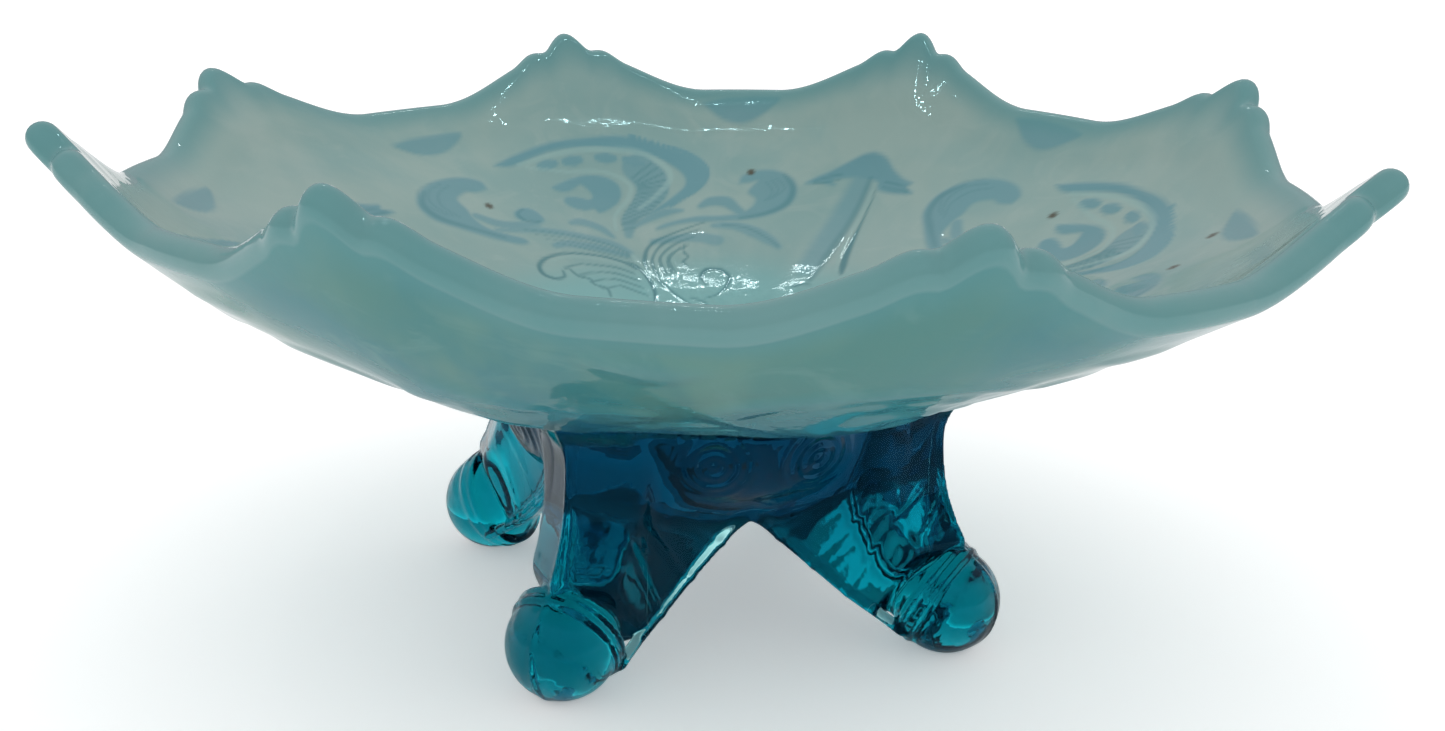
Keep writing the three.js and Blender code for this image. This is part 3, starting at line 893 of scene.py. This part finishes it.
def noise(tree, scale, detail=3.0, roughness=0.5, distortion=0.0, place=None):
    """Noise over the object's own coordinates, or over place; scale is per metre."""
    if place is None:
        place = tree.nodes.new("ShaderNodeTexCoord").outputs["Object"]
    made = tree.nodes.new("ShaderNodeTexNoise")
    made.inputs["Scale"].default_value = scale
    made.inputs["Detail"].default_value = detail
    made.inputs["Roughness"].default_value = roughness
    made.inputs["Distortion"].default_value = distortion
    tree.links.new(place, made.inputs["Vector"])
    return made.outputs["Fac"]


def up_the_wall(tree):
    """Coordinates that change with the direction from the axis, and only slowly up the wall."""
    place = tree.nodes.new("ShaderNodeTexCoord").outputs["Object"]
    flat = vector_node(tree, "NORMALIZE", vector_node(tree, "MULTIPLY", place, (1, 1, 0)))
    return vector_node(tree, "ADD", flat, vector_node(tree, "MULTIPLY", place, (0, 0, 6)))


def attribute(tree, name):
    """A value stored on the mesh."""
    made = tree.nodes.new("ShaderNodeAttribute")
    made.attribute_type = "GEOMETRY"
    made.attribute_name = name
    return made.outputs["Fac"]


def math_node(tree, operation, a, b=None, clamp=False):
    made = tree.nodes.new("ShaderNodeMath")
    made.operation = operation
    made.use_clamp = clamp
    for socket, value in zip(made.inputs, (a, b)):
        if value is None:
            continue
        if isinstance(value, (int, float)):
            socket.default_value = value
        else:
            tree.links.new(value, socket)
    return made.outputs[0]


def vector_node(tree, operation, a, b=None):
    made = tree.nodes.new("ShaderNodeVectorMath")
    made.operation = operation
    for socket, value in zip(made.inputs, (a, b)):
        if isinstance(value, tuple):
            socket.default_value = value
        elif value is not None:
            tree.links.new(value, socket)
    return made.outputs[0]


def remap(tree, value, low, high, to_low=0.0, to_high=1.0):
    """A smooth step of the value from one range to another."""
    made = tree.nodes.new("ShaderNodeMapRange")
    made.interpolation_type = "SMOOTHSTEP"
    made.inputs["From Min"].default_value = low
    made.inputs["From Max"].default_value = high
    made.inputs["To Min"].default_value = to_low
    made.inputs["To Max"].default_value = to_high
    tree.links.new(value, made.inputs["Value"])
    return made.outputs["Result"]


def mix_colour(tree, share, a, b):
    made = tree.nodes.new("ShaderNodeMix")
    made.data_type = "RGBA"
    tree.links.new(share, made.inputs[0])
    for socket, value in ((made.inputs[6], a), (made.inputs[7], b)):
        if isinstance(value, tuple):
            socket.default_value = (*value, 1)
        else:
            tree.links.new(value, socket)
    return made.outputs[2]


def scaled(tree, value, factor):
    return math_node(tree, "MULTIPLY", value, factor)


def position(tree):
    """Radius from the bowl's axis and height, in metres."""
    place = tree.nodes.new("ShaderNodeTexCoord")
    split = tree.nodes.new("ShaderNodeSeparateXYZ")
    tree.links.new(place.outputs["Object"], split.inputs[0])
    x_squared = math_node(tree, "MULTIPLY", split.outputs[0], split.outputs[0])
    y_squared = math_node(tree, "MULTIPLY", split.outputs[1], split.outputs[1])
    return math_node(tree, "SQRT", math_node(tree, "ADD", x_squared, y_squared)), split.outputs[2]


def bump(tree, shader, height, strength, distance):
    made = tree.nodes.new("ShaderNodeBump")
    made.inputs["Strength"].default_value = strength
    made.inputs["Distance"].default_value = distance
    tree.links.new(height, made.inputs["Height"])
    tree.links.new(made.outputs[0], shader.inputs["Normal"])


def inside_milk(tree, cloud, streak, flute):
    """The inside, greyer where it was reheated."""
    colour = mix_colour(tree, remap(tree, cloud, 0.35, 0.65), MILK_PALE, MILK_DEEP)
    colour = mix_colour(tree, remap(tree, streak, 0.5, 0.72, 0, 0.35), colour, MILK_STREAK)
    return mix_colour(tree, remap(tree, flute, 0.5, 0.72, 0, 0.4), colour, MILK_FLUTE)


def outside_skin_and_shade(tree, cloud, streak, flute, height):
    """The outside, greener and darker than the inside, partly its own colour and partly painted shade,
    with blue patches low down and painted shade beside the base.
    """
    colour = mix_colour(tree, remap(tree, cloud, 0.35, 0.65), SKIN_GREEN_SHADED, SKIN_BLUE_SHADED)
    colour = mix_colour(tree, remap(tree, flute, 0.45, 0.7, 0, 0.75), colour, SKIN_FLUTE_SHADED)
    colour = mix_colour(tree, remap(tree, streak, 0.5, 0.75, 0, 0.4), colour, SKIN_STREAK_SHADED)
    low = remap(tree, height, 0.056, 0.080, 1, 0)
    low = math_node(tree, "MULTIPLY", low, remap(tree, cloud, 0.33, 0.55))
    colour = mix_colour(tree, scaled(tree, low, 0.8), colour, SKIN_LOW_SHADED)
    # painted shade on the underside just above the base, broken up by the streak noise
    seat = remap(tree, height, 0.050, 0.059, 1, 0)
    seat = math_node(tree, "MULTIPLY", seat, remap(tree, streak, 0.4, 0.55))
    return mix_colour(tree, scaled(tree, seat, 0.85), colour, SEAT_PAINTED_SHADE)


def opal_glass():
    """Milky glass: its colour, how clear it is, its polish and its ripples."""
    material, tree, shader, _ = node_tree("opal_glass")
    radius, height = position(tree)
    relief = attribute(tree, "relief")
    line = attribute(tree, "line")
    rim = attribute(tree, "rim")
    outer = attribute(tree, "outer")
    cloud = noise(tree, 22, 4, 0.55, 0.6)
    streak = noise(tree, 60, 3, 0.6, 1.5)
    flute = noise(tree, 5, 3, 0.5, 0.4, up_the_wall(tree))
    inside = inside_milk(tree, cloud, streak, flute)
    skin_and_shade = outside_skin_and_shade(tree, cloud, streak, flute, height)
    # the outside is darker than the inside, partly its own colour and partly painted shade
    colour = mix_colour(tree, outer, inside, skin_and_shade)
    # the proud ornament is thicker and bluer
    blue = mix_colour(tree, remap(tree, cloud, 0.3, 0.7), ORNAMENT_DEEP, ORNAMENT_PALE)
    shown = math_node(tree, "MULTIPLY", relief, remap(tree, outer, 0, 1, 0.85, 0.3), True)
    colour = mix_colour(tree, shown, colour, blue)
    # the middle of the floor stayed clearer, and the rim and its points are bluer
    clear_floor = remap(tree, radius, 0.048, 0.066, 1, 0)
    colour = mix_colour(tree, scaled(tree, clear_floor, 0.7), colour, FLOOR_CLEAR)
    colour = mix_colour(tree, remap(tree, height, 0.094, 0.110, 0, 0.35), colour, TIP_BLUE)
    colour = mix_colour(tree, scaled(tree, rim, 0.7), colour, RIM_BLUE)
    # painted shade along the grooves, where the line value is above 0, and painted highlights along the
    # ridges, where it is below
    line = math_node(tree, "MULTIPLY", line, remap(tree, outer, 0, 1, 1, 0.12))
    groove_shade_mask = math_node(tree, "MULTIPLY", math_node(tree, "MAXIMUM", line, 0.0), 0.8, True)
    colour = mix_colour(tree, groove_shade_mask, colour, GROOVE_PAINTED_SHADE)
    light = math_node(tree, "MAXIMUM", scaled(tree, line, -0.6), 0.0)
    colour = mix_colour(tree, light, colour, RIDGE_PAINTED_HIGHLIGHT)
    colour = mix_colour(tree, attribute(tree, "speck"), colour, SPECK_BROWN)
    tree.links.new(colour, shader.inputs["Base Color"])
    tree.links.new(remap(tree, cloud, 0.3, 0.7, 0.03, 0.07), shader.inputs["Roughness"])
    see_through = math_node(tree, "ADD", scaled(tree, clear_floor, 0.2), 0.12)
    tree.links.new(see_through, shader.inputs["Transmission Weight"])
    shader.inputs["IOR"].default_value = GLASS_IOR
    shader.inputs["Specular Tint"].default_value = OPAL_MIRROR
    bump(tree, shader, noise(tree, 110, 3, 0.55, 0.4), 0.12, RIPPLE)
    return material


def clear_glass():
    """Clear glass that gets its colour from depth, and has no surface where its pieces meet."""
    material, tree, shader, output = node_tree("clear_glass")
    wave = noise(tree, 90, 3, 0.5, 0.8)
    tint = mix_colour(tree, remap(tree, wave, 0.35, 0.65), TINT_DEEP, TINT_PALE)
    tree.links.new(tint, shader.inputs["Base Color"])
    tree.links.new(remap(tree, wave, 0.3, 0.7, 0.02, 0.06), shader.inputs["Roughness"])
    shader.inputs["Transmission Weight"].default_value = 1.0
    shader.inputs["IOR"].default_value = GLASS_IOR
    shader.inputs["Specular Tint"].default_value = CLEAR_MIRROR
    bump(tree, shader, noise(tree, 160, 2, 0.5, 0.3), 0.15, RIPPLE)
    through = tree.nodes.new("ShaderNodeBsdfTransparent")
    mix = tree.nodes.new("ShaderNodeMixShader")
    tree.links.new(attribute(tree, "joint"), mix.inputs[0])
    tree.links.new(shader.outputs[0], mix.inputs[1])
    tree.links.new(through.outputs[0], mix.inputs[2])
    tree.links.new(mix.outputs[0], output.inputs["Surface"])
    depth = tree.nodes.new("ShaderNodeVolumeAbsorption")
    depth.inputs["Color"].default_value = CLEAR_DEPTH
    depth.inputs["Density"].default_value = CLEAR_DENSITY
    tree.links.new(depth.outputs[0], output.inputs["Volume"])
    return material


def floor_material():
    material, tree, shader, _ = node_tree("table")
    colour = mix_colour(tree, noise(tree, 8, 2), TABLE_DARK, TABLE_PALE)
    tree.links.new(colour, shader.inputs["Base Color"])
    shader.inputs["Roughness"].default_value = 0.8
    # lit faintly from below like a light table, but not where the glass mirrors it
    path = tree.nodes.new("ShaderNodeLightPath")
    direct = math_node(tree, "SUBTRACT", 1.0, path.outputs["Is Glossy Ray"])
    glow = scaled(tree, direct, FLOOR_GLOW)
    shader.inputs["Emission Color"].default_value = (1, 1, 1, 1)
    tree.links.new(glow, shader.inputs["Emission Strength"])
    return material


# ---- stage ----

def make_floor():
    size = FLOOR_SIZE / MM
    corners = [(-size, -size, 0), (size, -size, 0), (size, size, 0), (-size, size, 0)]
    made = new_object("floor", corners, [(0, 1, 2, 3)], floor_material())


def lamp(name, place, size, power):
    """A small square lamp that faces the bowl."""
    light = bpy.data.lights.new(name, "AREA")
    light.shape = "RECTANGLE"
    light.size = size
    light.size_y = size
    light.energy = power
    made = bpy.data.objects.new(name, light)
    made.location = place
    made.rotation_mode = "QUATERNION"
    made.rotation_quaternion = (Vector(LAMP_TARGET) - place).to_track_quat("-Z", "Y")
    bpy.context.scene.collection.objects.link(made)


def make_lights():
    """Rows of small lamps, for the beaded highlights of strip lights."""
    for name, start, end, count, size, power in LAMP_ROWS:
        for k in range(count):
            place = Vector(start).lerp(Vector(end), k / (count - 1))
            lamp(f"{name}_{k}", place, size, power)


def make_world():
    """A white studio that is dimmer near the horizon where it is mirrored in the glass."""
    world = bpy.data.worlds.new("studio")
    world.use_nodes = True
    tree = world.node_tree
    background = tree.nodes["Background"]
    background.inputs["Strength"].default_value = 1.0
    place = tree.nodes.new("ShaderNodeTexCoord")
    split = tree.nodes.new("ShaderNodeSeparateXYZ")
    tree.links.new(place.outputs["Generated"], split.inputs[0])
    mirrored = mix_colour(tree, remap(tree, split.outputs[2], 0.0, 0.9), HORIZON, ZENITH)
    path = tree.nodes.new("ShaderNodeLightPath")
    shown = mix_colour(tree, path.outputs["Is Glossy Ray"], (1, 1, 1), mirrored)
    tree.links.new(shown, background.inputs["Color"])
    bpy.context.scene.world = world


def make_camera():
    data = bpy.data.cameras.new("camera")
    data.sensor_width = 36
    data.lens = CAMERA_LENS
    data.clip_start = 0.01
    made = bpy.data.objects.new("camera", data)
    bpy.context.scene.collection.objects.link(made)
    heading = Vector(CAMERA_HEADING).normalized()
    forward = heading * math.cos(CAMERA_PITCH) - Vector((0, 0, math.sin(CAMERA_PITCH)))
    right = Vector((heading.y, -heading.x, 0))
    up = right.cross(forward)
    turn = Matrix((right, up, -forward)).transposed() @ Matrix.Rotation(CAMERA_ROLL, 3, "Z")
    made.matrix_world = Matrix.Translation(CAMERA_PLACE) @ turn.to_4x4()
    bpy.context.scene.camera = made


# ---- assembly ----

make_floor()
make_world()
make_lights()
make_camera()
bpy.context.scene.view_settings.view_transform = "Standard"

opal = opal_glass()
clear = clear_glass()

bowl = bowl_piece(opal)
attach(bowl, "root")
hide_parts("bowl")

for node, piece in clear_pieces(clear).items():
    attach(piece, "root")
    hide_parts(node)
